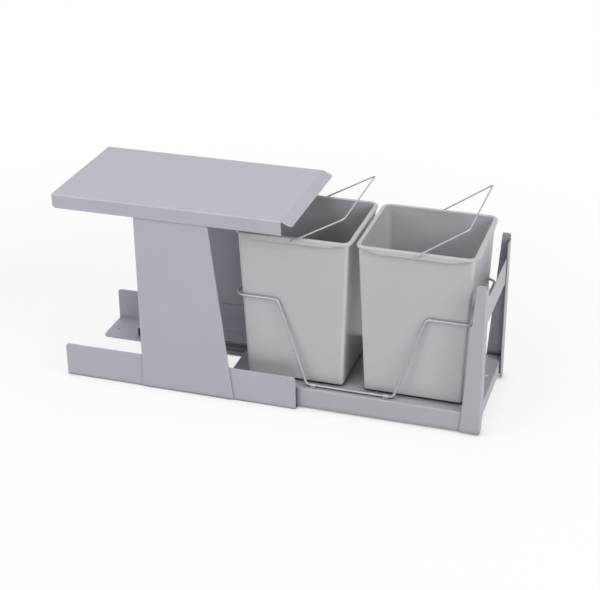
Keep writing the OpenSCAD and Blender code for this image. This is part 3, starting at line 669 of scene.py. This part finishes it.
def makeFloor(room):
    half, height = room["floorHalf"], room["floorHeight"]
    mesh = bpy.data.meshes.new("studio_floor")
    corners = [(-half, -half, height), (half, -half, height),
               (half, half, height), (-half, half, height)]
    mesh.from_pydata(corners, [], [(0, 1, 2, 3)])
    floor = bpy.data.objects.new("studio_floor", mesh)
    bpy.context.collection.objects.link(floor)
    material, tree, shader = newMaterial("studio_floor")
    shader.inputs["Roughness"].default_value = room["floorRoughness"]
    cloud = noiseField(tree, room["floorCloud"], finishRules["cloudDetail"])
    pale = np.array(room["floorColour"])
    colour = blendColours(tree, cloud, pale * room["floorChange"], pale)
    join(tree, colour, shader.inputs["Base Color"])
    # Seen directly the floor is white, but near the object it keeps a share of its own shading
    place = addNode(tree, "ShaderNodeTexCoord")
    away = addNode(tree, "ShaderNodeVectorMath", operation="LENGTH")
    join(tree, place.outputs["Object"], away.inputs[0])
    bright = addNode(tree, "ShaderNodeMapRange", {
        "From Min": room["shadowSpan"][0], "From Max": room["shadowSpan"][1],
        "To Min": 1.0 - room["floorShadow"], "To Max": 1.0}, interpolation_type="SMOOTHSTEP")
    join(tree, away.outputs["Value"], bright.inputs["Value"])
    # and in the narrow gaps under it most of it
    clear = combine(tree, "MULTIPLY", bright.outputs["Result"],
                    nearness(tree, room["gapReach"], 0.0))
    seen = combine(tree, "MULTIPLY", seenDirectly(tree), clear)
    glow = addNode(tree, "ShaderNodeEmission", {"Color": white, "Strength": 1.0})
    mix = addNode(tree, "ShaderNodeMixShader")
    join(tree, seen, mix.inputs[0])
    join(tree, shader.outputs[0], mix.inputs[1])
    join(tree, glow.outputs[0], mix.inputs[2])
    join(tree, mix.outputs[0], tree.nodes["Material Output"].inputs["Surface"])
    mesh.materials.append(material)


def makeWorld(room):
    # Seen directly the world is white, and to the surfaces it is a weak light
    world = bpy.data.worlds.new("studio_world")
    bpy.context.scene.world = world
    world.use_nodes = True
    tree = world.node_tree
    tree.nodes.clear()
    light = addNode(tree, "ShaderNodeBackground", {
        "Color": (*room["worldColour"], 1.0), "Strength": room["worldLight"]})
    backdrop = addNode(tree, "ShaderNodeBackground", {"Color": white, "Strength": 1.0})
    mix = addNode(tree, "ShaderNodeMixShader")
    output = addNode(tree, "ShaderNodeOutputWorld")
    join(tree, seenDirectly(tree), mix.inputs[0])
    join(tree, light.outputs[0], mix.inputs[1])
    join(tree, backdrop.outputs[0], mix.inputs[2])
    join(tree, mix.outputs[0], output.inputs["Surface"])


lamps = [
    {"name": "door_side_softbox", "place": (-1.0, -3.0, 1.9), "size": 1.4, "power": 49.0},
    {"name": "wall_side_softbox", "place": (-2.0, 2.2, 1.8), "size": 1.6, "power": 30.0},
    {"name": "camera_softbox", "place": (-2.3, -1.6, 1.3), "size": 1.2, "power": 7.0},
    {"name": "high_softbox", "place": (-1.6, 0.6, 2.9), "size": 1.6, "power": 21.0},
    {"name": "top_softbox", "place": (0.4, 0.2, 3.0), "size": 2.2, "power": 29.0},
]


def makeLamp(softbox, aim):
    # A square lamp, turned towards aim
    data = bpy.data.lights.new(softbox["name"], "AREA")
    data.shape = "SQUARE"
    data.size = softbox["size"]
    data.energy = softbox["power"]
    lamp = bpy.data.objects.new(softbox["name"], data)
    lamp.location = softbox["place"]
    towards = Vector(aim) - Vector(softbox["place"])
    lamp.rotation_euler = towards.to_track_quat("-Z", "Y").to_euler()
    bpy.context.collection.objects.link(lamp)


makeFloor(studio)
makeWorld(studio)
for softbox in lamps:
    makeLamp(softbox, studio["lampAim"])
bpy.context.scene.view_settings.view_transform = "Standard"
print("floor, world and lights made")

print("scene finished")
